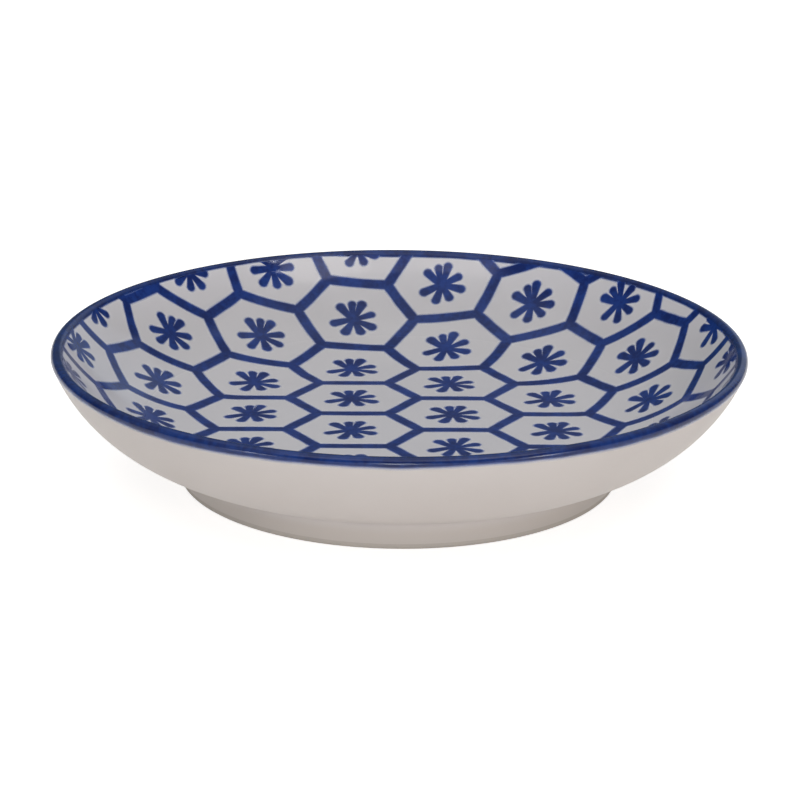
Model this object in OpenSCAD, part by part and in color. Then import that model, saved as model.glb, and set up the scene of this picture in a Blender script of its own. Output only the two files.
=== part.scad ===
// Soy sauce dish: a shallow porcelain saucer on a foot ring, glazed white, with a cobalt blue print inside.
// The print is a tortoiseshell lattice of hexagons with a small brushed flower in each, and a blue band
// runs over the lip. Lengths are in millimetres and angles in degrees. The dish stands on z = 0, round the z axis,
// and every section is drawn with the radius along x and the height along y.

/* [Bowl] */
// Diameter over the rim
rim_d = 95; // [88:0.5:104]
// Height from the table to the top of the lip
dish_h = 18.6; // [16:0.1:22]
// Thickness of the rounded lip
lip_t = 1.5; // [1.2:0.1:2]
// Width of the wall in plan, from the edge of the flat floor to the middle of the lip
wall_w = 22.05; // [19:0.05:26]
// Thickness of the base under the flat floor
base_t = 3.8; // [3:0.1:4.6]
// Thickness of the wall where it meets the foot ring
wall_t = 3; // [2.2:0.1:3.8]
// Angle at which the wall narrows into the lip
wall_taper = 9.5; // [6:0.1:13]

/* [Foot ring] */
// How far the outside of the foot ring stands in from the rim
foot_in = 17.15; // [15.5:0.05:20.5]
// Width of the foot ring
foot_w = 3; // [2.2:0.1:4.5]
// Bevel on both edges of the bare ring that the dish stands on
foot_bevel = 0.5; // [0.3:0.05:0.7]
// Radius of the hollow between foot ring and wall
foot_hollow_r = 1.4; // [0.8:0.1:2]
// Depth of the recess inside the foot ring
recess_h = 2.6; // [2:0.1:3.2]
// Radius in the corner of the recess
recess_corner_r = 1; // [0.5:0.1:1.5]

/* [Glaze] */
// Thickness of the fired glaze
glaze_t = 0.35; // [0.25:0.01:0.45]
// Height of the clay left bare above the table
bare_h = 0.8; // [0.75:0.05:1.4]

/* [Rim band] */
// How far the blue band reaches down outside, below the top of the lip, to where it has faded out
band_out_h = 1.6; // [1.1:0.1:2.4]
// How far the blue band reaches down inside, below the round of the lip, to where it has faded out
band_in_h = 0.5; // [0.3:0.05:1.2]

/* [Lattice] */
// Length of the bowl's face from the axis to the band for which the print is drawn; it is fitted to other bowls
print_reach = 49.65; // [40:0.05:60]
// Distance from one column of hexagons to the next
column_pitch = 14.2; // [12:0.1:16]
// Distance from one hexagon to the next in a column
row_pitch = 13.7; // [11:0.1:16]
// Length of the two level sides of a hexagon
level_side = 9.9; // [8:0.1:11]
// Width of the lattice line
line_w = 1.8; // [1:0.1:2.2]
// Shift of the whole print to the right of the axis
print_x = -6.3; // [-7:0.1:7]
// Shift of the whole print to the far side of the axis
print_y = -1.6; // [-7:0.1:7]
// Turn of the whole print
print_turn = 0.9; // [-10:0.1:10]
// Thickness of the print on the face of the glaze
print_t = 0.15; // [0.05:0.01:0.2]

/* [Flower] */
// Length of an average petal, from the heart to the middle of its round end
petal_l = 3.15; // [2.4:0.05:3.4]
// Width of an average petal at its round end
petal_w = 1.35; // [0.9:0.05:1.5]
// Width of each petal where it starts
petal_root_w = 1.05; // [0.6:0.05:1.2]
// Radius of the heart in which the petals run together
heart_r = 1.35; // [0.9:0.05:1.6]
// Shift of the heart to the right of the middle of its hexagon
heart_x = -0.3; // [-0.6:0.1:0.6]
// Shift of the heart above the middle of its hexagon
heart_y = -0.4; // [-0.6:0.1:0.6]

/* [Hidden] */
$fn = 120;

GLAZE_WHITE = "#E9E5E0";
BARE_CLAY = "#DCD3C6";
COBALT = "#24387F";

rim_r = rim_d / 2;
lip_r = lip_t / 2;
floor_z = recess_h + base_t;
foot_r = rim_r - foot_in;
recess_r = foot_r - foot_w;

// Middle of the round of the lip, and edge of the flat floor
lip_c = [rim_r - lip_r, dish_h - lip_r];
floor_r = lip_c.x - wall_w;

// The inside of the wall is an arc that leaves the floor level and runs into the round of the lip
wall_rise = lip_c.y - floor_z;
inside_r = (wall_w ^ 2 + wall_rise ^ 2 - lip_r ^ 2) / (2 * (wall_rise + lip_r));
inside_c = [floor_r, floor_z + inside_r];
lip_bearing = atan2(lip_c.y - inside_c.y, lip_c.x - inside_c.x);

// The outside of the wall is an arc from the top of the foot ring that runs into the round of the lip,
// which it meets on a line turned by the taper from the line on which the inside meets it
foot_top = [foot_r, face_z(foot_r) - wall_t];
lip_way = heading(lip_bearing + wall_taper);
lip_side = lip_c + lip_r * lip_way;
wall_chord = foot_top - lip_side;
wall_r = -wall_chord * wall_chord / (2 * wall_chord * lip_way);
outside_c = lip_side - wall_r * lip_way;

// The hollow under the wall is an arc that touches the side of the foot ring and the outside of the wall
hollow_c = [foot_r + foot_hollow_r,
            outside_c.y - sqrt((wall_r + foot_hollow_r) ^ 2 - (foot_r + foot_hollow_r - outside_c.x) ^ 2)];

band_in_z = lip_c.y - lip_r * sin(lip_bearing) - band_in_h;
band_out_z = dish_h - band_out_h;

// Radius of the glazed inside where the band begins, which is where the print ends
print_r = inside_c.x + sqrt(inside_r ^ 2 - (inside_c.y - band_in_z) ^ 2);
face_l = floor_r + inside_r * acos((inside_c.y - band_in_z) / inside_r) * PI / 180;
print_fit = face_l / print_reach;

// Each slanting side of a hexagon runs this far sideways
slant_run = column_pitch - level_side;
slant_l = norm([slant_run, row_pitch / 2]);

// The print was drawn in by a small share towards the rim when it was laid in the bowl
gather = 0.02;
gather_at = 40;

// Petals of a flower in turn: direction, and length and width as shares of an average petal
PETALS = [[22, 0.97, 1], [68, 1.1, 1.06], [97, 0.97, 0.92], [132, 1.02, 1.06],
          [202, 1.02, 0.97], [248, 0.99, 1], [294, 0.88, 1], [337, 1.02, 1.05]];
// Points on the round end of a petal, by their angle from its direction
ROUND_END = [-80, -40, 0, 40, 80];
// A petal that would run into the band is drawn smaller, by the largest of these shares that stays clear of it
PETAL_CUTS = [1, 0.85, 0.7, 0.55];
// A flower next to the band is drawn only with at least this many petals left
FEWEST_PETALS = 3;
// Petals that stand further apart than this don't run together
WIDEST_NOTCH = 100;
// The notch between two petals lies no further out than this share of the shorter one
NOTCH_SHARE = 0.62;

function heading(angle) = [cos(angle), sin(angle)];

// Height of the glazed inside at this distance from the axis
function face_z(r) = inside_c.y - sqrt(inside_r ^ 2 - max(0, r - floor_r) ^ 2);

// Place in the section of the point this far from the axis along the face of floor and wall, lifted off it
function on_face(along, lift) =
    let (turn = min(90, max(0, along - floor_r) / inside_r * 180 / PI))
    inside_c + [min(0, along - floor_r), 0] + (inside_r - lift) * [sin(turn), -cos(turn)];

// Place of a point of the flat print once it is laid in the bowl, lifted off the face
function laid(p, lift = 0) =
    let (q = print_fit * [print_x + p.x, print_y + p.y],
         turned = [q.x * cos(print_turn) - q.y * sin(print_turn), q.x * sin(print_turn) + q.y * cos(print_turn)],
         far = norm(turned),
         face = on_face(far * (1 - gather * (far / gather_at / print_fit) ^ 2), lift),
         out = far == 0 ? [0, 0] : turned / far)
    [out.x * face.x, out.y * face.x, face.y];

function plan(p) = [p.x, p.y];

// Middles of the hexagons of the flat print that can reach into the bowl
columns = ceil(print_reach / column_pitch) + 1;
rows = ceil(print_reach / row_pitch) + 1;
cells = [for (c = [-columns:columns], r = [-rows:rows])
         let (middle = [c * column_pitch, (r + (c % 2 == 0 ? 0 : 0.5)) * row_pitch])
         if (norm(plan(laid(middle))) < print_r + level_side) middle];

// White hexagon left inside the lines round one cell
function cell_corners(middle) =
    let (top = (row_pitch - line_w) / 2,
         side = level_side / 2 + slant_run - line_w * slant_l / row_pitch,
         shoulder = side - top * slant_run * 2 / row_pitch)
    [for (p = [[side, 0], [shoulder, top], [-shoulder, top], [-side, 0], [-shoulder, -top], [shoulder, -top]])
     plan(laid(middle + p))];

// Flat outline of the round end of a petal
function round_end(heart, petal) =
    let (end_c = heart + petal_l * petal[1] * heading(petal[0]), end_r = petal_w / 2 * petal[2])
    [for (a = ROUND_END) end_c + end_r * heading(petal[0] + a)];

// Whether points of the flat print all lie inside the band once they are laid in the bowl
function clear_of_band(points) = max([for (p = points) norm(plan(laid(p)))]) < print_r;

// Petals of a flower, each as large as the band lets it be
function petals_inside(heart) =
    [for (petal = PETALS)
     let (fits = [for (cut = PETAL_CUTS)
                  let (trimmed = [petal[0], petal[1] * cut, petal[2] * cut])
                  if (clear_of_band(round_end(heart, trimmed))) trimmed])
     if (len(fits) > 0) fits[0]];

// Flat outline of a flower: the notch before each petal, and then the round end of that petal
function flower_outline(heart, petals) =
    let (n = len(petals), taper = (petal_w - petal_root_w) / 2 / petal_l)
    [for (i = [0:n - 1])
     let (petal = petals[i],
          last = petals[(i + n - 1) % n],
          gap = (petal[0] - last[0] + 360) % 360,
          split = gap > WIDEST_NOTCH ? petal_root_w / 2
                                     : max(heart_r, petal_root_w / 2 / (tan(gap / 2) - taper)),
          notch = min(split, NOTCH_SHARE * petal_l * min(petal[1], last[1])))
     each [heart + notch * heading(petal[0] - gap / 2), each round_end(heart, petal)]];

module disc(centre, r) translate(centre) circle(r);

// Half plane below the round of the lip, between the axis and the two arcs of the wall
module below_lip()
    polygon([[0, 0], [2 * rim_r, 0], 2 * lip_c - outside_c, lip_c, inside_c, [0, inside_c.y]]);

// Empty inside of the bowl, this deep below the glazed face
module bowl_space(depth) {
    disc(inside_c, inside_r + depth);
    translate([0, floor_z - depth]) square([floor_r, inside_r + depth]);
}

// Empty recess inside the foot ring, this deep below the glazed face
module recess_space(depth) {
    corner_c = [recess_r - recess_corner_r, recess_h - recess_corner_r];
    square([corner_c.x, recess_h + depth]);
    square([recess_r + depth, corner_c.y]);
    disc(corner_c, recess_corner_r + depth);
    polygon([[0, 0], [recess_r + foot_bevel, 0], [recess_r, foot_bevel], [0, foot_bevel]]);
}

// Block of clay over the foot ring, as wide as the ring
module foot_block(depth)
    polygon([[0, 0], [foot_r - foot_bevel, 0], [foot_r - depth, foot_bevel], [foot_r - depth, inside_c.y],
             [0, inside_c.y]]);

// Clay that fills the corner between foot ring and wall down to the hollow
module foot_corner(depth)
    difference() {
        polygon([[recess_r, hollow_c.y], hollow_c, outside_c]);
        disc(hollow_c, foot_hollow_r + depth);
    }

// Section of the dish, this deep below its glazed faces
module dish_section(depth) {
    disc(lip_c, lip_r - depth);
    difference() {
        intersection() {
            below_lip();
            union() {
                disc(outside_c, wall_r - depth);
                foot_block(depth);
                foot_corner(depth);
            }
        }
        bowl_space(depth);
        recess_space(depth);
    }
}

// Section of the whole glaze coat, lip and foot ring included
module coat_section()
    difference() {
        dish_section(0);
        dish_section(glaze_t);
    }

// Distance from the axis to the middle of the lip, or of the wall below it, at this height
function wall_middle(z) = lip_c.x - min(0, z - lip_c.y) * tan(lip_bearing);

// Part of the section plane that the blue band covers
module band_area()
    polygon([[0, band_in_z], [wall_middle(band_in_z), band_in_z], [wall_middle(band_out_z), band_out_z],
             [2 * rim_r, band_out_z], [2 * rim_r, 2 * dish_h], [0, 2 * dish_h]]);

// Part of the section plane below the foot ring's bare edge
module bare_area() square([rim_r, bare_h]);

// Part of the section plane inside the foot ring
module recess_area() square([recess_r + foot_w / 2, recess_h + glaze_t]);

// Layer over the inside of the bowl between two depths below the glazed face, up to the band
module inside_layer(top, bottom)
    rotate_extrude()
        intersection() {
            square([rim_r, band_in_z]);
            difference() {
                bowl_space(bottom);
                bowl_space(top);
            }
        }

module lattice_plan()
    difference() {
        circle(rim_r);
        for (middle = cells) polygon(cell_corners(middle));
    }

// One flower, as a thin layer that follows the face: its flat outline is laid in the bowl twice, and both
// outlines are closed towards the heart
module flower(middle) {
    heart = middle + [heart_x, heart_y];
    petals = petals_inside(heart);
    outline = len(petals) < FEWEST_PETALS ? [] : flower_outline(heart, petals);
    n = len(outline);
    if (n > 0 && clear_of_band(outline))
        polyhedron(
            points = [for (lift = [0, print_t], p = outline) laid(p, lift), laid(heart), laid(heart, print_t)],
            faces = [for (i = [0:n - 1])
                     let (j = (i + 1) % n)
                     each [[2 * n, i, j], [2 * n + 1, n + j, n + i], [n + i, n + j, j], [n + i, j, i]]]);
}

module porcelain_body()
    color(BARE_CLAY)
        rotate_extrude() {
            dish_section(glaze_t);
            intersection() {
                dish_section(0);
                bare_area();
            }
        }

module outer_glaze()
    color(GLAZE_WHITE)
        rotate_extrude()
            difference() {
                coat_section();
                bowl_space(glaze_t);
                band_area();
                bare_area();
                recess_area();
            }

module inner_glaze()
    color(GLAZE_WHITE) inside_layer(0, glaze_t);

module base_glaze()
    color(GLAZE_WHITE)
        rotate_extrude()
            difference() {
                intersection() {
                    coat_section();
                    recess_area();
                }
                bare_area();
            }

module rim_band()
    color(COBALT)
        rotate_extrude()
            intersection() {
                coat_section();
                band_area();
            }

module hexagon_lattice()
    color(COBALT)
        intersection() {
            inside_layer(-print_t, 0);
            linear_extrude(dish_h) lattice_plan();
        }

module flower_motifs() color(COBALT) for (middle = cells) flower(middle);

porcelain_body();
outer_glaze();
inner_glaze();
base_glaze();
rim_band();
hexagon_lattice();
flower_motifs();
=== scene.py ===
"""Looks of a blue and white soy sauce dish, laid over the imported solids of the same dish.

The dish is a porcelain saucer on a foot ring. A white glaze covers the bowl, the outside and the recess
under the base, a blue print of hexagons with small flowers lies in the bowl, and a painted blue band runs
over the lip. Lengths are in metres. The dish stands on z = 0 round the z axis, and the viewer of the print
looks along +Y.
"""

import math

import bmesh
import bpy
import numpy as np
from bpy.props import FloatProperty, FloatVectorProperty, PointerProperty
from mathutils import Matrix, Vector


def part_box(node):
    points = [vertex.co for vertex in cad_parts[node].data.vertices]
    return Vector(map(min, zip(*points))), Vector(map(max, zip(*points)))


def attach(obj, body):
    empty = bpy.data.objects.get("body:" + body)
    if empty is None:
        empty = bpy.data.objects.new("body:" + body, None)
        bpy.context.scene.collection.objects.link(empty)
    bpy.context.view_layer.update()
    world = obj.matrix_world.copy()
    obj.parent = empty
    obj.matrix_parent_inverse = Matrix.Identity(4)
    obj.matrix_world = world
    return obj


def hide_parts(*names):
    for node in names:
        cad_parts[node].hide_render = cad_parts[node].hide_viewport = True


bl_info = {
    "name": "Soy sauce dish",
    "version": (1, 0, 0),
    "blender": (4, 5, 0),
    "location": "View3D > Sidebar > Dish",
    "description": "Builds the glaze, print and painted rim of a small porcelain dish",
    "category": "Add Mesh",
}

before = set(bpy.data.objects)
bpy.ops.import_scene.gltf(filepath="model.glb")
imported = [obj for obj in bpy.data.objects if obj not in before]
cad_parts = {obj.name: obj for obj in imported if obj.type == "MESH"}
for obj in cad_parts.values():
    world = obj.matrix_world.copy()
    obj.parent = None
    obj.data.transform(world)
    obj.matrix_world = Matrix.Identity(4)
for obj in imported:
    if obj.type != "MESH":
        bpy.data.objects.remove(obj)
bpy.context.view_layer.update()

MM = 0.001
# Keeps a division by a distance from the axis clear of nought
TINY = 1e-9

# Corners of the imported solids, and the thickness of the glaze that they give
band_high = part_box("rim_band")[1]
outer_low, outer_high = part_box("outer_glaze")
recess_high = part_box("base_glaze")[1]
clay_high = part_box("porcelain_body")[1]
lattice_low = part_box("hexagon_lattice")[0]
inner_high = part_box("inner_glaze")[1]
COAT = band_high.z - clay_high.z

# Fineness of the surfaces: steps round the dish, reach of the weld, angle from which an edge is sharp
COLUMNS = 288
WELD = 1e-6
SHARP = math.radians(38)

# Points along the face and the back of a glaze coat and over the lip, and the one at which two coats part
FACE_POINTS = 90
BACK_POINTS = 24
LIP_POINTS = 20
LIP_PART = 8

# Bake map: share left to hidden rows, margin of a strip, reach of a plan, and the corner for hidden faces
HIDDEN_SHARE = 0.05
MAP_MARGIN = 0.01
PLAN_REACH = 1.04
CORNER_AT = 0.002
CORNER_SIZE = 0.02

# Petals of a flower in turn: direction in degrees, and length and width as shares of an average petal
PETALS = np.array([
    (22, 0.97, 1), (68, 1.1, 1.06), (97, 0.97, 0.92), (132, 1.02, 1.06),
    (202, 1.02, 0.97), (248, 0.99, 1), (294, 0.88, 1), (337, 1.02, 1.05),
])
# The notch between two petals lies no further out than this share of the shorter one
NOTCH_SHARE = 0.62
# Angles of the points on a petal's round end, from its direction
ROUND_END = np.radians(np.linspace(-84, 84, 11))
# How far brushed petals differ: in direction, in radians, and in length and width, as shares
WAY_SPREAD = 0.022
LENGTH_SPREAD = 0.02
WIDTH_SPREAD = 0.04
# The tip of a fading edge lies this many bleeds out
TIP_OUT = 1.25
# Wavelengths in which the edges of the lines wander
LONG_WAVES = np.array([3.1, 4.7, 7.9, 12.3]) * MM
SHORT_WAVES = np.array([1.1, 1.6]) * MM

# Edges of the painted band: bearing in degrees, and millimetres that the edge lies past its mean place
BAND_INNER = (
    (6, 0.18), (30, -0.1), (38, 0.05), (50, 0.1), (64, 0.2), (90, 0.22), (96, 0.3), (103, -0.2),
    (126, -0.2), (140, -0.1), (165, 0.13), (210, 0.05), (255, -0.05), (300, 0.08), (330, 0.1),
)
BAND_OUTER = (
    (10, 0.05), (60, -0.1), (110, 0.05), (160, -0.1), (200, -0.4), (210, -0.3), (216, -0.17),
    (222, 0.03), (228, 0.18), (234, 0.3), (240, 0.22), (246, 0.12), (255, -0.02), (264, -0.02),
    (270, 0.08), (276, -0.07), (282, -0.17), (288, -0.15), (294, 0.08), (300, 0.04), (306, 0.22),
    (318, 0.15), (330, -0.12), (338, -0.3),
)


def length(name, description, default):
    """A size in metres that a user may set."""
    return FloatProperty(name=name, description=description, default=default, subtype="DISTANCE",
                         precision=5)


def angle(name, description, degrees):
    """An angle that a user may set."""
    return FloatProperty(name=name, description=description, default=math.radians(degrees), subtype="ANGLE")


def share(name, description, default):
    """A plain factor that a user may set."""
    return FloatProperty(name=name, description=description, default=default, subtype="FACTOR")


def colour(name, description, written):
    """A colour that a user may set, from its usual six hexadecimal digits."""
    parts = np.array([int(written[i:i + 2], 16) for i in (0, 2, 4)]) / 255
    linear = np.where(parts <= 0.04045, parts / 12.92, ((parts + 0.055) / 1.055) ** 2.4)
    return FloatVectorProperty(name=name, description=description, default=linear.tolist(), subtype="COLOR",
                               min=0, max=1)


class DishSizes(bpy.types.PropertyGroup):
    """Sizes of the thrown and glazed dish."""

    rim_radius: length("Rim radius", "From the axis to the outside of the lip", band_high.x)
    height: length("Height", "From the table to the top of the lip", band_high.z)
    lip_thickness: length("Lip thickness", "Thickness of the rounded lip", 1.5 * MM)
    floor_radius: length("Floor radius", "Radius of the flat part of the floor inside", 24.7 * MM)
    floor_height: length("Floor height", "Height of the glazed floor above the table", lattice_low.z)
    wall_thickness: length("Wall thickness", "Thickness of the wall where it meets the foot ring", 3 * MM)
    wall_taper: angle("Wall taper", "Angle at which the wall narrows into the lip", 9.5)
    foot_radius: length("Foot radius", "Outside radius of the foot ring", 30.35 * MM)
    foot_bevel: length("Foot bevel", "Rounding on both edges of the bare ring", 0.5 * MM)
    foot_hollow: length("Foot hollow", "Radius of the hollow between foot ring and wall", 1.4 * MM)
    recess_radius: length("Recess radius", "Radius of the recess in the foot ring", recess_high.x - COAT)
    recess_height: length("Recess height", "Height of the recess under the base", recess_high.z - COAT)
    recess_corner: length("Recess corner", "Radius in the corner of the recess", 1 * MM)
    coat: length("Glaze thickness", "Thickness of the fired glaze", COAT)
    bare_height: length("Bare height", "Height of the clay left bare above the table", outer_low.z)
    band_inside: length("Band inside", "How far down the band ends inside", band_high.z - inner_high.z)
    band_outside: length("Band outside", "How far down the band ends outside", band_high.z - outer_high.z)


class PrintSizes(bpy.types.PropertyGroup):
    """Sizes of the blue print in the bowl."""

    column_pitch: length("Column pitch", "From one column of hexagons to the next", 14.2 * MM)
    row_pitch: length("Row pitch", "From one hexagon to the next in a column", 13.7 * MM)
    level_side: length("Level side", "Length of the two level sides of a hexagon", 9.9 * MM)
    line_width: length("Line width", "Width of the lines round the hexagons", 1.8 * MM)
    shift_x: length("Shift right", "Shift of the whole print to the right of the axis", -6.3 * MM)
    shift_y: length("Shift away", "Shift of the whole print to the far side of the axis", -1.6 * MM)
    turn: angle("Turn", "Turn of the whole print round the axis", 0.9)
    gather: share("Gather", "Share by which the print is drawn in at the gather distance", 0.02)
    gather_at: length("Gather distance", "Distance from the axis at which the gather is given", 40 * MM)
    petal_length: length("Petal length", "From the heart to the middle of a petal's round end", 3.15 * MM)
    petal_width: length("Petal width", "Width of an average petal at its round end", 1.6 * MM)
    petal_root: length("Petal root", "Width of each petal where it starts", 0.78 * MM)
    heart_radius: length("Heart radius", "Radius of the heart in which the petals run together", 1.25 * MM)
    heart_x: length("Heart right", "Shift of the heart to the right of its hexagon's middle", -0.3 * MM)
    heart_y: length("Heart up", "Shift of the heart above its hexagon's middle", -0.4 * MM)
    bleed: length("Bleed", "Half the width over which the blue fades into the white", 0.28 * MM)
    wander: length("Wander", "How far the edges of the lines wander", 0.035 * MM)
    band_bleed: length("Band bleed", "Half the width over which the band thins out inside", 0.2 * MM)
    band_fade: length("Band fade", "Half the width over which the band thins out outside", 0.42 * MM)
    proud: length("Proud", "How far the fired blue stands above the glaze", 0.03 * MM)
    sunk: length("Sunk", "How deep the edges of the blue lie in the glaze", 0.05 * MM)


class DishColours(bpy.types.PropertyGroup):
    """Colours of the dish and of what it stands on."""

    glaze: colour("Glaze", "White of the glaze inside", "D2CED0")
    glaze_cloud: colour("Clouded glaze", "Patches of the glaze inside", "CAC6C8")
    # The glaze outside is the same glaze, as thick as inside; its brighter, warmer white and patches are
    # painted front light
    outer_glaze: colour("Outer glaze", "White of the thinner glaze outside", "DDD5D0")
    outer_cloud: colour("Outer cloud", "Patches of the glaze outside", "D5CCC6")
    # Painted shade: a darker, warmer white for the foot ring and recess below the crease, where the wall
    # overhangs
    foot_painted_shade: colour("Foot glaze", "Glaze on the foot ring, through which the clay shows", "D6CCC3")
    print_deep: colour("Deep print", "Blue of the print where it is thick", "092260")
    print_thin: colour("Thin print", "Blue of the print where it is thin", "153680")
    band_deep: colour("Deep band", "Blue of the painted band where it is thick", "0A1C50")
    band_thin: colour("Thin band", "Blue of the painted band where it is thin", "143272")
    wash: colour("Wash", "Blue where it runs out into the white", "6A84C4")
    clay: colour("Bare clay", "Fired clay on the foot ring", "C6BCB0")
    floor: colour("Floor", "The surface that the dish stands on", "D6D1CC")


# Section of the dish

def heading(turn):
    """Unit vectors at angles from the first axis."""
    return np.stack([np.cos(turn), np.sin(turn)], axis=-1)


def arc(centre, radius, start, end, count):
    """Points on a circle about the centre, from one angle to another in equal steps."""
    return np.asarray(centre) + radius * heading(np.linspace(start, end, count))


def straight(start, end, count):
    """Points from start to end in equal steps."""
    return np.linspace(start, end, count)


def joined(*stretches):
    """One line through all the stretches, each of which begins where the one before ends."""
    return np.concatenate([s[:-1] for s in stretches[:-1]] + [stretches[-1]])


class Section:
    """Section of the dish in a plane through its axis: distance from the axis first, then height.

    The inside is level out to the edge of the floor, and then an arc that runs into the round of the lip.
    The outside is an arc from the lip down to the foot ring, which it meets in a small hollow.
    Every face can be drawn at a depth below the glazed one.
    """

    def __init__(self, sizes):
        self.sizes = sizes
        lip_r = sizes.lip_thickness / 2
        self.lip_r = lip_r
        self.lip = np.array([sizes.rim_radius - lip_r, sizes.height - lip_r])
        run, rise = self.lip - (sizes.floor_radius, sizes.floor_height)
        self.inside_r = (run ** 2 + rise ** 2 - lip_r ** 2) / (2 * (rise + lip_r))
        self.inside = np.array([sizes.floor_radius, sizes.floor_height + self.inside_r])
        self.bearing = math.atan2(*(self.lip - self.inside)[::-1])
        self.contact = self.lip + lip_r * heading(self.bearing + math.pi)
        foot_height = self.face_height(sizes.foot_radius) - sizes.wall_thickness
        foot_top = np.array([sizes.foot_radius, foot_height])
        self.out_bearing = self.bearing + sizes.wall_taper
        way = heading(self.out_bearing)
        chord = foot_top - (self.lip + lip_r * way)
        self.wall_r = -(chord @ chord) / (2 * chord @ way)
        self.outside = self.lip + (lip_r - self.wall_r) * way
        hollow_x = sizes.foot_radius + sizes.foot_hollow
        drop = math.sqrt((self.wall_r + sizes.foot_hollow) ** 2 - (hollow_x - self.outside[0]) ** 2)
        self.hollow = np.array([hollow_x, self.outside[1] - drop])
        self.hollow_bearing = math.atan2(*(self.hollow - self.outside)[::-1])

    def face_height(self, distance):
        """Height of the glazed inside at a distance from the axis."""
        past = max(0, distance - self.sizes.floor_radius)
        return self.inside[1] - math.sqrt(self.inside_r ** 2 - past ** 2)

    def turn_at(self, height):
        """Angle from straight down at which the glazed inside of the wall reaches a height."""
        return math.acos((self.inside[1] - height) / self.inside_r)

    def bowl_line(self, depth, top, count):
        """The inside from the axis out over the floor and up the wall to a height of the glazed face."""
        low = self.sizes.floor_height - depth
        down = -math.pi / 2
        return joined(straight((0, low), (self.sizes.floor_radius, low), count // 2),
                      arc(self.inside, self.inside_r + depth, down, down + self.turn_at(top), count))

    def lip_line(self, depth, count):
        """Over the round of the lip, from where the inside runs into it to where the outside does."""
        return arc(self.lip, self.lip_r - depth, self.bearing + math.pi, self.out_bearing, count)

    def wall_line(self, depth, foot, count):
        """The outside from the lip down the wall, through the hollow and down the foot ring to a height."""
        side = self.sizes.foot_radius - depth
        hollow_r = self.sizes.foot_hollow + depth
        return joined(arc(self.outside, self.wall_r - depth, self.out_bearing, self.hollow_bearing, count),
                      arc(self.hollow, hollow_r, self.hollow_bearing + math.pi, math.pi, count // 4),
                      straight((side, self.hollow[1]), (side, foot), count // 6))

    def recess_line(self, depth, foot, count):
        """The recess under the base, from a height of its wall round the corner and in to the axis."""
        sizes = self.sizes
        corner_r = sizes.recess_corner
        corner = np.array([sizes.recess_radius - corner_r, sizes.recess_height - corner_r])
        side, roof = sizes.recess_radius + depth, sizes.recess_height + depth
        return joined(straight((side, foot), (side, corner[1]), 6),
                      arc(corner, corner_r + depth, 0, math.pi / 2, 12),
                      straight((corner[0], roof), (0, roof), count))

    def ring_line(self, count):
        """The bare foot ring: down its outside, over the rounded edges and the flat, and up its inside."""
        sizes = self.sizes
        bevel = sizes.foot_bevel
        outer = (sizes.foot_radius - bevel, bevel)
        inner = (sizes.recess_radius + bevel, bevel)
        return joined(straight((sizes.foot_radius, sizes.bare_height), (sizes.foot_radius, bevel), 4),
                      arc(outer, bevel, 0, -math.pi / 2, count),
                      straight((outer[0], 0), (inner[0], 0), count),
                      arc(inner, bevel, -math.pi / 2, -math.pi, count),
                      straight((sizes.recess_radius, bevel), (sizes.recess_radius, sizes.bare_height), 4))


class LipRun:
    """The glazed face over the lip as a line, with lengths measured from the inside contact of the lip.

    It starts some lip thicknesses below the rim inside, and ends at an angle down the arc outside.
    """

    LIPS_DOWN = 6
    TURN_DOWN = 0.5

    def __init__(self, section, fineness=1500):
        below = section.sizes.height - self.LIPS_DOWN * section.sizes.lip_thickness
        start = section.turn_at(below) - math.pi / 2
        end = section.out_bearing - self.TURN_DOWN
        inside = arc(section.inside, section.inside_r, start, section.bearing, fineness)
        lip = section.lip_line(0, fineness)
        outside = arc(section.outside, section.wall_r, section.out_bearing, end, fineness)
        self.points = joined(inside, lip, outside)
        steps = np.linalg.norm(np.diff(self.points, axis=0), axis=1)
        self.reach = np.concatenate([[0], np.cumsum(steps)]) - steps[:fineness - 1].sum()
        along = np.gradient(self.points, axis=0)
        along /= np.linalg.norm(along, axis=1)[:, None]
        self.normals = np.stack([-along[:, 1], along[:, 0]], axis=1)

    def at(self, reach, lift):
        """Points a length along the line and a lift off it, both whole arrays."""
        points = [np.interp(reach, self.reach, self.points[:, i]) for i in (0, 1)]
        normals = [np.interp(reach, self.reach, self.normals[:, i]) for i in (0, 1)]
        return np.stack(points, axis=-1) + np.asarray(lift)[..., None] * np.stack(normals, axis=-1)

    def reach_of(self, height, inner):
        """Length along the line at which the inner or outer face has a height."""
        top = int(np.argmax(self.points[:, 1]))
        if inner:
            return np.interp(height, self.points[:top, 1], self.reach[:top])
        return np.interp(-height, -self.points[top:, 1], self.reach[top:])


# Meshes from grids

def ripple(turn, seed, counts, amount):
    """A closed wavy line round the dish: sines with whole numbers of waves and chance phases."""
    dice = np.random.default_rng(seed)
    phases = dice.uniform(0, 2 * math.pi, len(counts))
    weights = dice.uniform(0.5, 1, len(counts))
    waves = weights * np.sin(np.multiply.outer(turn, counts) + phases)
    return amount * waves.sum(axis=-1) / weights.sum()


def brushed(turn, places):
    """Slow wandering of a brushed edge round the dish: straight between places, smoothed by a mean."""
    bearing, past = np.array(places).T
    edge = np.interp(np.degrees(turn), bearing, past * MM, period=360)
    near = np.arange(-3, 4)
    return np.mean([np.roll(edge, n) for n in near], axis=0)


def drift(places, seed, wavelengths, amount):
    """A smooth wandering over the flat print: sines in chance directions, one for each wavelength."""
    dice = np.random.default_rng(seed)
    turn = dice.uniform(0, 2 * math.pi, len(wavelengths))
    phase = dice.uniform(0, 2 * math.pi, len(wavelengths))
    ways = np.stack([np.cos(turn), np.sin(turn)]) * (2 * math.pi / np.asarray(wavelengths))
    return amount * np.sin(places @ ways + phase).mean(axis=-1)


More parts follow.
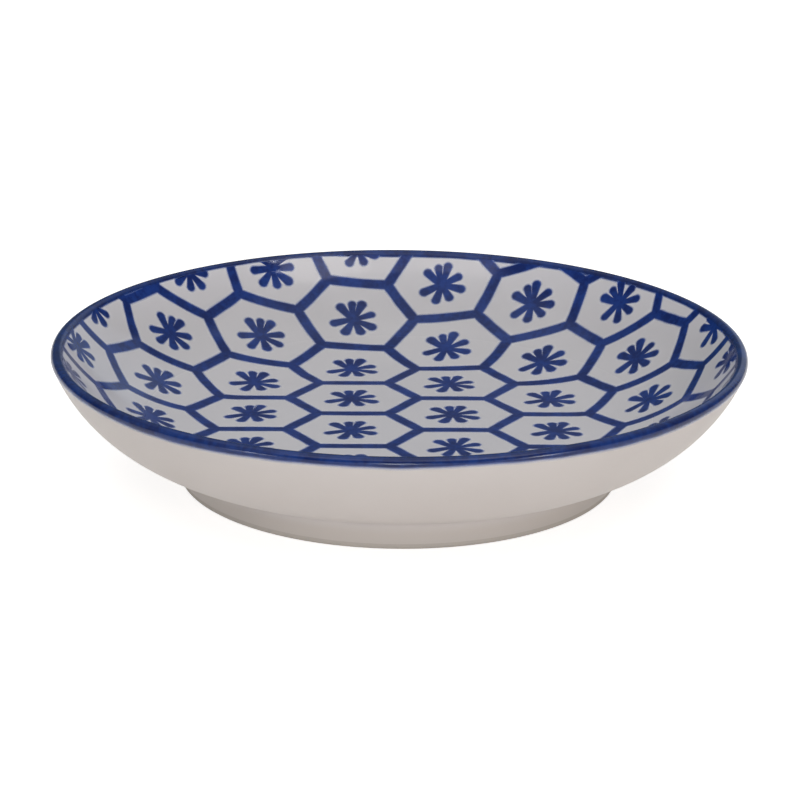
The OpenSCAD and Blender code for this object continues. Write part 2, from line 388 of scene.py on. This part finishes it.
def revolved(line, columns=COLUMNS):
    """A line carried round the axis: a grid of points, by column and then along the line.

    The line is one for all columns, or an array of one line for each column.
    """
    turn = np.linspace(0, 2 * math.pi, columns, endpoint=False)
    line = np.broadcast_to(line, (columns,) + line.shape[-2:])
    out, up = line[..., 0], line[..., 1]
    return np.stack([out * np.cos(turn)[:, None], out * np.sin(turn)[:, None], up], axis=-1)


def grid_quads(grids, around, along, closed):
    """Corner numbers of the squares of like grids that close on themselves around, and along if asked."""
    i = np.arange(around)
    j = np.arange(along if closed else along - 1)
    start = np.arange(grids)[:, None, None] * around * along
    a, b = i[None, :, None], (i[None, :, None] + 1) % around
    c, d = j[None, None, :], (j[None, None, :] + 1) % along
    corners = np.stack([a * along + c, b * along + c, b * along + d, a * along + d], axis=-1)
    return (start[..., None] + corners).reshape(-1, 4)


def strip_map(around, line, closed, front, strips):
    """Corner places on the bake map for a revolved grid: the turn cut into strips, one above the other.

    Rows of the line up to front take most of a strip's height, and the hidden rows behind them the rest.
    """
    steps = np.linalg.norm(np.diff(np.concatenate([line, line[:1]]), axis=0), axis=1)
    steps[front:] *= HIDDEN_SHARE
    rows = np.concatenate([[0], np.cumsum(steps)])
    rows = rows / rows[len(line) if closed else len(line) - 1]
    per_strip = around // strips
    i = np.arange(around)
    j = np.arange(len(line) if closed else len(line) - 1)
    left = np.broadcast_to((i % per_strip)[:, None] / per_strip, (around, len(j)))
    strip = np.broadcast_to((i // per_strip)[:, None], (around, len(j)))
    low, high = rows[j][None, :] + 0 * left, rows[j + 1][None, :] + 0 * left
    right = left + 1 / per_strip
    inset = 1 - 2 * MAP_MARGIN
    across = MAP_MARGIN + inset * np.stack([left, right, right, left], axis=-1)
    up = MAP_MARGIN + inset * np.stack([low, low, high, high], axis=-1)
    return np.stack([across, (strip[..., None] + up) / strips], axis=-1).reshape(-1, 2)


def plan_map(points, quads, hidden):
    """Corner places on the bake map for the print: its plan from above, with hidden faces in a corner."""
    reach = PLAN_REACH * np.abs(points[:, :2]).max()
    places = 0.5 + points[quads][..., :2] / (2 * reach)
    places[hidden] = CORNER_AT + CORNER_SIZE * places[hidden]
    return places.reshape(-1, 2)


def piece(name, points, quads, places, material, nodes, ink=None):
    """Puts a grid into a mesh, welds seams and poles, turns its faces outwards and sets it on the frame.

    All faces of a grid turn the same way round, so the sign of the volume that they enclose says which way.
    A piece with ink is a thin layer of blue. It keeps no light off the glaze, so that its edges blend.
    """
    a, b, c, d = points[quads].swapaxes(0, 1)
    if np.einsum("ij,ij->", np.cross(c - a, d - b), a + b + c + d) < 0:
        quads = quads[:, ::-1]
        places = places.reshape(-1, 4, 2)[:, ::-1]
    mesh = bpy.data.meshes.new(name)
    mesh.vertices.add(len(points))
    mesh.vertices.foreach_set("co", points.astype(np.float32).ravel())
    mesh.loops.add(quads.size)
    mesh.loops.foreach_set("vertex_index", quads.astype(np.int32).ravel())
    mesh.polygons.add(len(quads))
    mesh.polygons.foreach_set("loop_start", np.arange(0, quads.size, 4, dtype=np.int32))
    mesh.update(calc_edges=True)
    mesh.uv_layers.new(name="OFBake").uv.foreach_set("vector", places.astype(np.float32).ravel())
    inked = ink is not None
    if inked:
        shades = mesh.attributes.new("ink", "FLOAT", "POINT")
        shades.data.foreach_set("value", ink.astype(np.float32).ravel())
    work = bmesh.new()
    work.from_mesh(mesh)
    bmesh.ops.remove_doubles(work, verts=work.verts, dist=WELD)
    work.to_mesh(mesh)
    work.free()
    mesh.shade_smooth()
    mesh.set_sharp_from_angle(angle=SHARP)
    mesh.materials.append(material)
    made = bpy.data.objects.new(name, mesh)
    made.visible_shadow = made.visible_diffuse = not inked
    bpy.context.scene.collection.objects.link(made)
    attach(made, "root")
    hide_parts(*nodes)
    return made


def revolved_piece(name, front, back, material, node, strips=4):
    """A closed layer of the dish from the lines of its face and of its back, which runs the other way."""
    closed = not (front[0, 0] == 0 or front[-1, 0] == 0)
    line = np.concatenate([front, back])
    grid = revolved(line)
    quads = grid_quads(1, COLUMNS, len(line), closed)
    places = strip_map(COLUMNS, line, closed, len(front), strips)
    return piece(name, grid.reshape(-1, 3), quads, places, material, [node])


# The print and how it lies in the bowl

class Lay:
    """Lays the flat print in the bowl: turned and shifted, drawn in a little, and bent up along the wall.

    The edge of the print is tucked under the band.
    """

    def __init__(self, section, sizes):
        self.section, self.sizes = section, sizes
        self.end = self.along(section.sizes.height - section.sizes.band_inside)
        self.tuck = 0.5 * MM

    def along(self, height):
        """Distance from the axis, measured along the face, at which the wall reaches a height."""
        return self.section.inside[0] + self.section.inside_r * self.section.turn_at(height)

    def turned(self, flat):
        """The flat print moved to its place on the floor of the bowl."""
        turn = self.sizes.turn
        moved = flat + (self.sizes.shift_x, self.sizes.shift_y)
        return moved @ np.array([[math.cos(turn), math.sin(turn)], [-math.sin(turn), math.cos(turn)]])

    def __call__(self, flat, lift):
        """Places of flat points in the bowl at a lift off the face, and which of them lie past the tuck."""
        placed = self.turned(flat)
        far = np.linalg.norm(placed, axis=-1)
        along = far * (1 - self.sizes.gather * (far / self.sizes.gather_at) ** 2)
        last = self.end + self.tuck
        past = along > last
        along = np.minimum(along, last)
        lift = np.where(past, self.sizes.proud, lift)
        centre, radius = self.section.inside, self.section.inside_r
        turn = np.maximum(0, along - centre[0]) / radius
        out = centre[0] + np.minimum(0, along - centre[0]) + (radius - lift) * np.sin(turn)
        up = centre[1] - (radius - lift) * np.cos(turn)
        way = placed / np.maximum(far, TINY)[..., None]
        return np.concatenate([way * out[..., None], up[..., None]], axis=-1), past

    def follow_face(self, mesh):
        """Gives a welded piece of print the normals of the glaze under it, so both shine as one surface."""
        co = np.empty(len(mesh.vertices) * 3, np.float32)
        mesh.vertices.foreach_get("co", co)
        co = co.reshape(-1, 3).astype(float)
        out = np.linalg.norm(co[:, :2], axis=1)
        lean = np.maximum(0, out - self.section.inside[0]) / (self.section.inside[1] - co[:, 2])
        way = co[:, :2] / np.maximum(out, TINY)[:, None]
        normals = np.concatenate([-way * lean[:, None], np.ones((len(co), 1))], axis=1)
        normals /= np.linalg.norm(normals, axis=1)[:, None]
        mesh.normals_split_custom_set_from_vertices(normals.tolist())


def cell_middles(lay, sizes):
    """Middles of the hexagons of the flat print that reach into the bowl, odd columns half a row up."""
    count = math.ceil(lay.end / min(sizes.column_pitch, sizes.row_pitch)) + 1
    each = np.arange(-count, count + 1)
    column, row = np.meshgrid(each, each, indexing="ij")
    row = row + 0.5 * (column % 2)
    middles = np.stack([column * sizes.column_pitch, row * sizes.row_pitch], axis=-1)
    middles = middles.reshape(-1, 2)
    far = np.linalg.norm(lay.turned(middles), axis=1)
    return middles[far < lay.end + sizes.level_side]


def hexagon(half_width, shoulder, half_height, per_side):
    """Points round a hexagon with two level sides, in equal steps along each side."""
    corners = np.array([(half_width, 0), (shoulder, half_height), (-shoulder, half_height),
                        (-half_width, 0), (-shoulder, -half_height), (shoulder, -half_height)])
    step = np.arange(per_side)[None, :, None] / per_side
    return (corners[:, None] * (1 - step) + np.roll(corners, -1, axis=0)[:, None] * step).reshape(-1, 2)


def lattice_grid(lay, sizes):
    """The lattice as one ring round each hexagon, from the middle of its lines in to their edge.

    Row by row, a ring runs under the glaze from the middle of the line to its edge, comes up there and runs
    back over the glaze: each row is the middle hexagon plus a share of the way to the inner one. The edge
    wanders a little. Neighbours share the rows on the middle of the line.
    """
    per_side = 14
    half = sizes.line_width / 2
    tip = sizes.column_pitch - sizes.level_side
    slant = math.hypot(tip, sizes.row_pitch / 2)
    top = sizes.row_pitch / 2
    middle = hexagon(sizes.level_side / 2 + tip, sizes.level_side / 2, top, per_side)
    side = sizes.level_side / 2 + tip - sizes.line_width * slant / sizes.row_pitch
    shoulder = side - (top - half) * tip / top
    inward = hexagon(side, shoulder, top - half, per_side) - middle

    bleed = sizes.bleed
    from_edge = np.array([half, 0, -TIP_OUT * bleed, -bleed, 0, bleed, half / 2, half])
    shares = 1 - from_edge / half
    shares[[0, -1]] = 0
    lifts = np.repeat([-sizes.sunk, sizes.proud], [3, 5])
    ink = np.array([1, 1, 0, 0, 0.5, 1, 1, 1])

    middles = cell_middles(lay, sizes)
    lines = middles[:, None] + middle
    wander = drift(lines + inward, 5, LONG_WAVES, 2 * sizes.wander)
    wander += drift(lines + inward, 6, SHORT_WAVES, 0.35 * sizes.wander)
    width = 1 + wander / half
    flat = lines[:, :, None] + inward[None, :, None] * (shares * width[..., None])[..., None]
    points, past = lay(flat, np.broadcast_to(lifts, flat.shape[:-1]))
    return points, past, np.broadcast_to(ink, past.shape)


def flower_grid(lay, sizes):
    """The flowers as rings round their hearts, each a row of the grid at a distance inside the outline.

    An outline has, petal by petal, the notch before the petal and then the round end of the petal. A row
    nearer the heart has narrower petals and deeper notches. Flowers differ a little, as brushed ones do.
    """
    dice = np.random.default_rng(11)
    hearts = cell_middles(lay, sizes) + (sizes.heart_x, sizes.heart_y)
    count, petals = len(hearts), len(PETALS)
    way = np.radians(PETALS[:, 0]) + dice.normal(0, WAY_SPREAD, (count, petals))
    reach = sizes.petal_length * PETALS[:, 1] * dice.normal(1, LENGTH_SPREAD, (count, petals))
    round_r = sizes.petal_width / 2 * PETALS[:, 2] * dice.normal(1, WIDTH_SPREAD, (count, petals))
    root = sizes.petal_root / 2 * dice.uniform(0.9, 1.1, (count, 1))
    gap = (way - np.roll(way, 1, axis=1)) % (2 * math.pi)
    taper = (sizes.petal_width - sizes.petal_root) / 2 / sizes.petal_length
    split = sizes.heart_radius * dice.normal(1, WIDTH_SPREAD, (count, petals))
    split = np.maximum(split, root / (np.tan(gap / 2) - taper))
    split = np.minimum(split, NOTCH_SHARE * np.minimum(reach, np.roll(reach, 1, axis=1)))

    inset = np.array([-TIP_OUT, -1, 0, 1]) * sizes.bleed
    notch = split[..., None] - 1.5 * inset
    notches = notch[..., None] * heading((way - gap / 2)[..., None])
    middle = reach[..., None] * heading(way)
    end_r = (round_r[..., None] - inset)[:, :, None, :, None]
    ends = middle[:, :, None, None] + end_r * heading(way[..., None] + ROUND_END)[:, :, :, None]
    outline = np.concatenate([notches[:, :, None], ends], axis=2).reshape(count, -1, len(inset), 2)

    steps = np.array([0, 1 / 3, 2 / 3])
    under = outline[:, :, :1] * steps[:, None]
    over = outline[:, :, -1:] * steps[::-1, None]
    flat = hearts[:, None, None] + np.concatenate([under, outline, over], axis=2)
    lifts = np.repeat([-sizes.sunk, sizes.proud], [4, 6])
    ink = np.array([1, 1, 1, 0, 0, 0.5, 1, 1, 1, 1])
    points, past = lay(flat, np.broadcast_to(lifts, flat.shape[:-1]))
    return points, past, np.broadcast_to(ink, past.shape)


def print_piece(name, grid, first_shown, lay, material, node):
    """A piece of print from its grid: faces wholly past the tuck are left out, as the band covers them."""
    points, past, ink = grid
    quads = grid_quads(*past.shape, False)
    row = np.arange(len(quads)) % (past.shape[2] - 1)
    kept = ~past.reshape(-1)[quads].all(axis=1)
    points = points.reshape(-1, 3)
    places = plan_map(points, quads, row < first_shown).reshape(-1, 4, 2)
    made = piece(name, points, quads[kept], places[kept].reshape(-1, 2), material, [node],
                 ink)
    lay.follow_face(made.data)
    return made


# Finishes

# Refractive index, which sets the shine: soft in the bowl, a little fuller on the thick band
BOWL_INDEX = 1.35
BAND_INDEX = 1.4

# Noise in the finishes: waves to the metre, and detail
GLAZE_CLOUDS = (70, 3)
GLAZE_WAVES = (260, 1)
GLOSS_PATCHES = (120, 2)
BLUE_POOLS = (300, 3)
BLUE_SPECKS = (1400, 2)
CLAY_GRAIN = (2600, 4)

# Roughness of the bowl's floor, how much smoother its wall is, and the heights over which that sets in
FLOOR_ROUGH = 0.45
WALL_SMOOTHER = 0.38
WALL_FROM = lattice_low.z + 0.3 * MM
WALL_TO = lattice_low.z + 4 * MM

# Numbers of the sockets of a Mix node on colours: the factor, the two colours and the result
MIX_FACTOR = 0
MIX_FIRST = 6
MIX_SECOND = 7
MIX_RESULT = 2


class Wire:
    """An output socket of a finish, on which arithmetic adds the Math nodes that it needs."""

    def __init__(self, recipe, socket):
        self.recipe, self.socket = recipe, socket

    def worked(self, operation, *values):
        """Result of a Math node on numbers and wires."""
        return self.recipe.node("ShaderNodeMath", {"operation": operation}, dict(enumerate(values)))

    def __add__(self, other):
        return self.worked("ADD", self, other)

    def __radd__(self, other):
        return self.worked("ADD", other, self)

    def __sub__(self, other):
        return self.worked("SUBTRACT", self, other)

    def __rsub__(self, other):
        return self.worked("SUBTRACT", other, self)

    def __mul__(self, other):
        return self.worked("MULTIPLY", self, other)

    def __rmul__(self, other):
        return self.worked("MULTIPLY", other, self)

    def between(self, low, high):
        """0 below low and 1 above high, with a smooth rise from one to the other."""
        return self.recipe.node("ShaderNodeMapRange", {"interpolation_type": "SMOOTHSTEP"},
                                {"Value": self, "From Min": low, "From Max": high})


class Recipe:
    """The nodes of one finish."""

    def __init__(self, name, tree=None):
        if tree is None:
            self.made = bpy.data.materials.new(name)
            self.made.use_nodes = True
            tree = self.made.node_tree
        self.tree = tree
        self.tree.nodes.clear()

    def node(self, kind, settings=None, sockets=None, output=0):
        """Adds a node: its settings first, then the values of its sockets or the wires that lead there."""
        made = self.tree.nodes.new(kind)
        for key, value in (settings or {}).items():
            setattr(made, key, value)
        for key, value in (sockets or {}).items():
            if isinstance(value, Wire):
                self.tree.links.new(value.socket, made.inputs[key])
            else:
                made.inputs[key].default_value = value
        return Wire(self, made.outputs[output]) if made.outputs else made

    def mixed(self, factor, first, second):
        """Colour between two colours."""
        sockets = {MIX_FACTOR: factor, MIX_FIRST: solid(first), MIX_SECOND: solid(second)}
        return self.node("ShaderNodeMix", {"data_type": "RGBA"}, sockets, MIX_RESULT)

    def place(self):
        """Place on the dish, in metres."""
        return self.node("ShaderNodeTexCoord", output="Object")

    def height(self):
        """Height above the table, in metres."""
        return self.node("ShaderNodeSeparateXYZ", {}, {"Vector": self.place()}, "Z")

    def cloud(self, scale, detail):
        """Soft noise from 0 to 1 with a number of waves to the metre."""
        sockets = {"Vector": self.place(), "Scale": scale, "Detail": detail}
        return self.node("ShaderNodeTexNoise", {}, sockets, "Fac")

    def fired(self, base, roughness, bump, **constants):
        """Ends the finish in one shader."""
        sockets = {"Base Color": base, "Roughness": roughness, "Normal": bump, **constants}
        shader = self.node("ShaderNodeBsdfPrincipled", {}, sockets)
        self.node("ShaderNodeOutputMaterial", {}, {"Surface": shader})
        return self.made


def solid(value):
    """A colour with full cover, or a wire as it is."""
    return value if isinstance(value, Wire) else (*value, 1.0)


def glaze_tone(recipe, white, patches):
    """White of the glaze, faintly clouded."""
    return recipe.mixed(0.4 * recipe.cloud(*GLAZE_CLOUDS).between(0.35, 0.75), white, patches)


def glaze_skin(recipe):
    """Faint waves in the surface of the glaze, as a normal."""
    sockets = {"Strength": 0.12, "Distance": 0.1 * MM, "Height": recipe.cloud(*GLAZE_WAVES)}
    return recipe.node("ShaderNodeBump", {}, sockets)


def glaze_gloss(recipe):
    """Roughness of the glaze in the bowl: glossy on the wall, dulled on the floor, with duller patches."""
    wall = recipe.height().between(WALL_FROM, WALL_TO)
    return FLOOR_ROUGH - WALL_SMOOTHER * wall + 0.05 * recipe.cloud(*GLOSS_PATCHES)


def band_gloss(recipe):
    """Roughness of the band, which was brushed on more thickly."""
    return 0.2 + 0.1 * recipe.cloud(*GLOSS_PATCHES)


def white_glaze(colours):
    """Glossy white porcelain glaze, as it lies in the bowl."""
    recipe = Recipe("white_glaze")
    tone = glaze_tone(recipe, colours.glaze, colours.glaze_cloud)
    return recipe.fired(tone, glaze_gloss(recipe), glaze_skin(recipe), IOR=BOWL_INDEX)


def satin_glaze(colours, crease):
    """The same glaze outside with a satin skin: a brighter, warmer white as painted front light, and darker
    below the crease as painted shade.
    """
    recipe = Recipe("satin_glaze")
    above = recipe.height().between(crease - 1 * MM, crease + 1 * MM)
    # Painted light: the outside takes a brighter, warmer white than the glaze inside
    white = glaze_tone(recipe, colours.outer_glaze, colours.outer_cloud)
    # Painted shade: below the crease, on the foot ring and in the recess, the glaze takes the darker tone
    tone = recipe.mixed(above, colours.foot_painted_shade, white)
    dull = 0.42 + 0.1 * recipe.cloud(*GLOSS_PATCHES)
    return recipe.fired(tone, dull, glaze_skin(recipe), **{"Specular IOR Level": 0.3})


def cobalt(name, deep, thin, wash, gloss, index):
    """Cobalt under a gloss, uneven in depth, which thins out to a wash and to nothing as the ink ends."""
    recipe = Recipe(name)
    depth = 0.6 * recipe.cloud(*BLUE_POOLS) + 0.4 * recipe.cloud(*BLUE_SPECKS)
    blue = recipe.mixed(depth.between(0.36, 0.66), deep, thin)
    ink = recipe.node("ShaderNodeAttribute", {"attribute_name": "ink"}, output="Fac")
    blue = recipe.mixed(ink.between(0.25, 0.9), wash, blue)
    return recipe.fired(blue, gloss(recipe), glaze_skin(recipe), IOR=index, Alpha=ink.between(0.0, 0.9))


def bare_clay(colours):
    """Matt fired clay with a fine grain."""
    recipe = Recipe("bare_clay")
    grain = recipe.cloud(*CLAY_GRAIN)
    tone = recipe.mixed(0.35 * grain, colours.clay, colours.outer_cloud)
    bump = recipe.node("ShaderNodeBump", {}, {"Strength": 0.35, "Distance": 0.08 * MM, "Height": grain})
    return recipe.fired(tone, 0.62 + 0.2 * grain, bump)


# Operators, one for each piece or group of like pieces

class DISH_OT_clay_body(bpy.types.Operator):
    """Makes the fired clay under the glaze, with the bare foot ring that the dish stands on"""

    bl_idname = "dish.clay_body"
    bl_label = "Clay body"

    def execute(self, context):
        sizes = context.scene.dish_sizes
        section = Section(sizes)
        coat = sizes.coat
        line = np.concatenate([
            section.bowl_line(coat, section.contact[1], 40)[:-1], section.lip_line(coat, 16),
            section.wall_line(coat, sizes.bare_height, 48)[1:], section.ring_line(8),
            section.recess_line(coat, sizes.bare_height, 12),
        ])
        clay = bare_clay(context.scene.dish_colours)
        revolved_piece("clay_body", line, line[:0], clay, "porcelain_body")
        return {"FINISHED"}


class DISH_OT_glaze_coats(bpy.types.Operator):
    """Makes the three coats of white glaze: inside the bowl, outside and in the recess under the base"""

    bl_idname = "dish.glaze_coats"
    bl_label = "Glaze coats"

    def execute(self, context):
        sizes = context.scene.dish_sizes
        section = Section(sizes)
        coat = sizes.coat
        glaze = white_glaze(context.scene.dish_colours)
        satin = satin_glaze(context.scene.dish_colours, section.hollow[1])
        top, edge = section.contact[1], sizes.bare_height
        lip, lip_back = section.lip_line(0, LIP_POINTS), section.lip_line(coat, LIP_POINTS)
        face = joined(section.bowl_line(0, top, FACE_POINTS), lip[:LIP_PART])
        back = joined(section.bowl_line(coat, top, BACK_POINTS), lip_back[:LIP_PART])
        revolved_piece("glaze_inside", face, back[::-1], glaze, "inner_glaze")
        face = joined(lip[LIP_PART + 1:], section.wall_line(0, edge, FACE_POINTS))
        back = joined(lip_back[LIP_PART + 1:], section.wall_line(coat, edge, BACK_POINTS))
        revolved_piece("glaze_outside", face, back[::-1], satin, "outer_glaze")
        face, back = section.recess_line(0, edge, 24), section.recess_line(coat, edge, 10)
        revolved_piece("glaze_recess", face, back[::-1], satin, "base_glaze")
        return {"FINISHED"}


class DISH_OT_rim_band(bpy.types.Operator):
    """Makes the painted blue band over the lip, with its wandering edges"""

    bl_idname = "dish.rim_band"
    bl_label = "Rim band"

    def execute(self, context):
        scene = context.scene
        sizes, prints, colours = scene.dish_sizes, scene.dish_print, scene.dish_colours
        run = LipRun(Section(sizes))
        turn = np.linspace(0, 2 * math.pi, COLUMNS, endpoint=False)
        tip_in, tip_out = 1.3 * prints.band_bleed, 1.06 * prints.band_fade
        inner = run.reach_of(sizes.height - sizes.band_inside, True) + tip_in - brushed(turn, BAND_INNER)
        inner += ripple(turn, 3, [19, 31, 47], 0.04 * MM)
        outer = run.reach_of(sizes.height - sizes.band_outside, False) - tip_out + brushed(turn, BAND_OUTER)
        outer += ripple(turn, 4, [23, 41, 59], 0.05 * MM)
        thin = np.linspace(-1, 1, 9)
        rows_in = inner[:, None] + np.append(-tip_in, np.array([-1, 0, 1]) * prints.band_bleed)
        rows_out = outer[:, None] + np.append(thin * prints.band_fade, tip_out)
        body = np.linspace(0, 1, 20)[1:-1]
        behind = np.linspace(0.85, 0.15, 8)
        rows_between = rows_in[:, -1:] * (1 - body) + rows_out[:, :1] * body
        rows_behind = inner[:, None] * (1 - behind) + outer[:, None] * behind
        rows = np.concatenate([rows_in, rows_between, rows_out, rows_behind], axis=1)
        front = rows.shape[1] - len(behind)
        lifts = np.full(rows.shape[1], 1.4 * prints.proud)
        lifts[1:5] = np.array([0.1, 0.2, 0.5, 1.2]) * prints.proud
        lifts[[0, front - 1]] = -prints.sunk
        lifts[front:] = -sizes.coat / 2
        ink = np.concatenate([[0, 0, 0.5, 1], np.ones(len(body)), 0.5 - 0.5 * thin, [0],
                              np.ones(len(behind))])
        lines = run.at(rows, np.broadcast_to(lifts, rows.shape))
        grid = revolved(lines)
        quads = grid_quads(1, COLUMNS, rows.shape[1], True)
        places = strip_map(COLUMNS, lines[0], True, front, 8)
        blue = cobalt("cobalt_band", colours.band_deep, colours.band_thin, colours.wash, band_gloss,
                      BAND_INDEX)
        piece("painted_band", grid.reshape(-1, 3), quads, places, blue, ["rim_band"],
              np.broadcast_to(ink, rows.shape))
        return {"FINISHED"}


class DISH_OT_blue_print(bpy.types.Operator):
    """Makes the print in the bowl: the lattice of hexagons and the flower in each of them"""

    bl_idname = "dish.blue_print"
    bl_label = "Blue print"

    def execute(self, context):
        prints, colours = context.scene.dish_print, context.scene.dish_colours
        lay = Lay(Section(context.scene.dish_sizes), prints)
        blue = cobalt("cobalt_print", colours.print_deep, colours.print_thin, colours.wash, glaze_gloss,
                      BOWL_INDEX)
        print_piece("lattice_print", lattice_grid(lay, prints), 2, lay, blue, "hexagon_lattice")
        print_piece("flower_print", flower_grid(lay, prints), 3, lay, blue, "flower_motifs")
        return {"FINISHED"}


# Stage

LAMPS = (
    # name, bearing and height angle in degrees, distance and side in metres, power in watts, colour
    ("softbox_right", -50, 54, 0.8, 0.3, 0.7, (1.0, 0.95, 0.9)),
    ("softbox", -85, 54, 0.8, 0.3, 0.28, (1.0, 0.95, 0.9)),
    ("softbox_left", -120, 52, 0.8, 0.3, 0.42, (1.0, 0.92, 0.85)),
    ("panel", 66, 18, 0.9, 0.5, 0.44, (0.72, 0.8, 1.0)),
    ("left", -140, 28, 0.9, 0.34, 0.2, (1.0, 1.0, 1.0)),
    ("far_left", 180, 22, 0.9, 0.3, 0.2, (0.8, 0.9, 1.0)),
    ("low_left", -135, 3, 0.8, 0.08, 0.78, (0.92, 0.95, 1.0)),
    ("low_front", -90, 3, 0.8, 0.08, 1.4, (0.87, 0.93, 1.0)),
    ("low_right", -45, 3, 0.8, 0.08, 1.08, (0.98, 0.98, 1.0)),
    ("top", 0, 90, 1.0, 1.2, 1.8, (0.92, 0.97, 1.0)),
    ("spark", -33, 46.5, 0.9, 0.02, 0.03, (1.0, 1.0, 1.0)),
    ("spark_high", -29.5, 53, 0.9, 0.02, 0.03, (1.0, 1.0, 1.0)),
)
SKY = {
    # light from three sides of the room, which blend into each other
    "right": (0.1, 0.1, 0.1),
    "back": (0.06, 0.1, 0.13),
    "above": (0.71, 0.74, 0.755),
}
# Strength with which the floor shows to the camera and in reflections, on top of the light that it takes
FLOOR_GLOW = 0.8

# The camera: focal length in pixels of a picture 800 pixels wide, aim, distance, height angle, tilt, middle
PICTURE = 800
FOCAL = 2818.7
AIM = Vector((0, 0, 9 * MM))
DISTANCE = 0.38963
RISE = math.radians(18.779)
TILT = -0.0095
MIDDLE = (398.82, 408.26)
SENSOR = 36.0


def set_floor(colours):
    """Pale floor that takes the shadow of the dish and shows white round it."""
    size = 6.0
    mesh = bpy.data.meshes.new("floor")
    corners = [(-size, -size, 0), (size, -size, 0), (size, size, 0), (-size, size, 0)]
    mesh.from_pydata(corners, [], [(0, 1, 2, 3)])
    recipe = Recipe("floor")
    shadow = recipe.node("ShaderNodeBsdfDiffuse", {}, {"Color": solid(colours.floor)})
    path = recipe.node("ShaderNodeLightPath")
    ways = [Wire(recipe, path.socket.node.outputs[way]) for way in
            ("Is Camera Ray", "Is Glossy Ray", "Is Transmission Ray")]
    seen = ways[0] + ways[1] + ways[2]
    glow = recipe.node("ShaderNodeEmission", {}, {"Color": (1, 1, 1, 1), "Strength": FLOOR_GLOW * seen})
    both = recipe.node("ShaderNodeAddShader", {}, {0: shadow, 1: glow})
    recipe.node("ShaderNodeOutputMaterial", {}, {"Surface": both})
    mesh.materials.append(recipe.made)
    floor = bpy.data.objects.new("floor", mesh)
    bpy.context.scene.collection.objects.link(floor)


def set_world():
    """Soft light from three sides: a direction takes from each by the square of its part towards it."""
    world = bpy.data.worlds.new("studio")
    world.use_nodes = True
    recipe = Recipe("studio", world.node_tree)
    way = recipe.node("ShaderNodeTexCoord", output="Generated")
    x, y, z = [recipe.node("ShaderNodeSeparateXYZ", {}, {"Vector": way}, axis) for axis in "XYZ"]
    parts = {"right": x, "back": y, "above": z}
    light = (0, 0, 0)
    for side, part in parts.items():
        toward = part.worked("MAXIMUM", part, 0)
        light = recipe.node("ShaderNodeVectorMath", {"operation": "MULTIPLY_ADD"},
                            {0: SKY[side], 1: toward * toward, 2: light})
    sky = recipe.node("ShaderNodeBackground", {}, {"Color": light})
    recipe.node("ShaderNodeOutputWorld", {}, {"Surface": sky})
    bpy.context.scene.world = world


def set_lamp(name, bearing, rise, distance, side, power, tint):
    """A square soft lamp that looks at the dish from a bearing and a height angle."""
    lamp = bpy.data.lights.new(name, "AREA")
    lamp.shape = "SQUARE"
    lamp.size = side
    lamp.energy = power
    lamp.color = tint
    made = bpy.data.objects.new(name, lamp)
    turn, up = math.radians(bearing), math.radians(rise)
    back = Vector((math.cos(turn) * math.cos(up), math.sin(turn) * math.cos(up), math.sin(up)))
    turned = back.to_track_quat("Z", "Y").to_matrix().to_4x4()
    made.matrix_world = Matrix.Translation(AIM + distance * back) @ turned
    made.visible_camera = False
    bpy.context.scene.collection.objects.link(made)


def set_camera():
    """The camera of the picture, turned by its tilt about its own axis, with the picture's middle moved."""
    right, back = Vector((1, 0, 0)), Vector((0, -math.cos(RISE), math.sin(RISE)))
    up = back.cross(right)
    across = math.cos(TILT) * right - math.sin(TILT) * up
    upright = math.sin(TILT) * right + math.cos(TILT) * up
    lens = bpy.data.cameras.new("camera")
    lens.sensor_width = SENSOR
    lens.lens = FOCAL / PICTURE * SENSOR
    lens.shift_x = (PICTURE / 2 - MIDDLE[0]) / PICTURE
    lens.shift_y = (MIDDLE[1] - PICTURE / 2) / PICTURE
    lens.clip_start, lens.clip_end = 0.01, 50
    made = bpy.data.objects.new("camera", lens)
    turn = Matrix((across, upright, back)).transposed().to_4x4()
    made.matrix_world = Matrix.Translation(AIM + DISTANCE * back) @ turn
    bpy.context.scene.collection.objects.link(made)
    bpy.context.scene.camera = made


class DISH_OT_stage(bpy.types.Operator):
    """Sets the floor, the light and the camera"""

    bl_idname = "dish.stage"
    bl_label = "Stage"

    def execute(self, context):
        set_floor(context.scene.dish_colours)
        set_world()
        for lamp in LAMPS:
            set_lamp(*lamp)
        set_camera()
        context.scene.view_settings.view_transform = "Standard"
        return {"FINISHED"}


OPERATORS = (DISH_OT_stage, DISH_OT_clay_body, DISH_OT_glaze_coats, DISH_OT_rim_band, DISH_OT_blue_print)
GROUPS = {"dish_sizes": DishSizes, "dish_print": PrintSizes, "dish_colours": DishColours}


class VIEW3D_PT_dish(bpy.types.Panel):
    """Lists the steps that build the dish, with its sizes and colours"""

    bl_label = "Soy sauce dish"
    bl_space_type = "VIEW_3D"
    bl_region_type = "UI"
    bl_category = "Dish"

    def draw(self, context):
        for step in OPERATORS:
            self.layout.operator(step.bl_idname)
        for group in GROUPS:
            box = self.layout.box()
            for name in GROUPS[group].__annotations__:
                box.prop(getattr(context.scene, group), name)


CLASSES = (*GROUPS.values(), *OPERATORS, VIEW3D_PT_dish)


def register():
    """Registers the classes and gives the scene its sizes and colours."""
    for kind in CLASSES:
        bpy.utils.register_class(kind)
    for name, kind in GROUPS.items():
        setattr(bpy.types.Scene, name, PointerProperty(type=kind))


def unregister():
    """Takes the sizes and colours off the scene again, and then the classes."""
    for name in GROUPS:
        delattr(bpy.types.Scene, name)
    for kind in reversed(CLASSES):
        bpy.utils.unregister_class(kind)


def main():
    """Builds the stage and the dish."""
    register()
    bpy.ops.dish.stage()
    bpy.ops.dish.clay_body()
    bpy.ops.dish.glaze_coats()
    bpy.ops.dish.rim_band()
    bpy.ops.dish.blue_print()


if __name__ == "__main__":
    main()
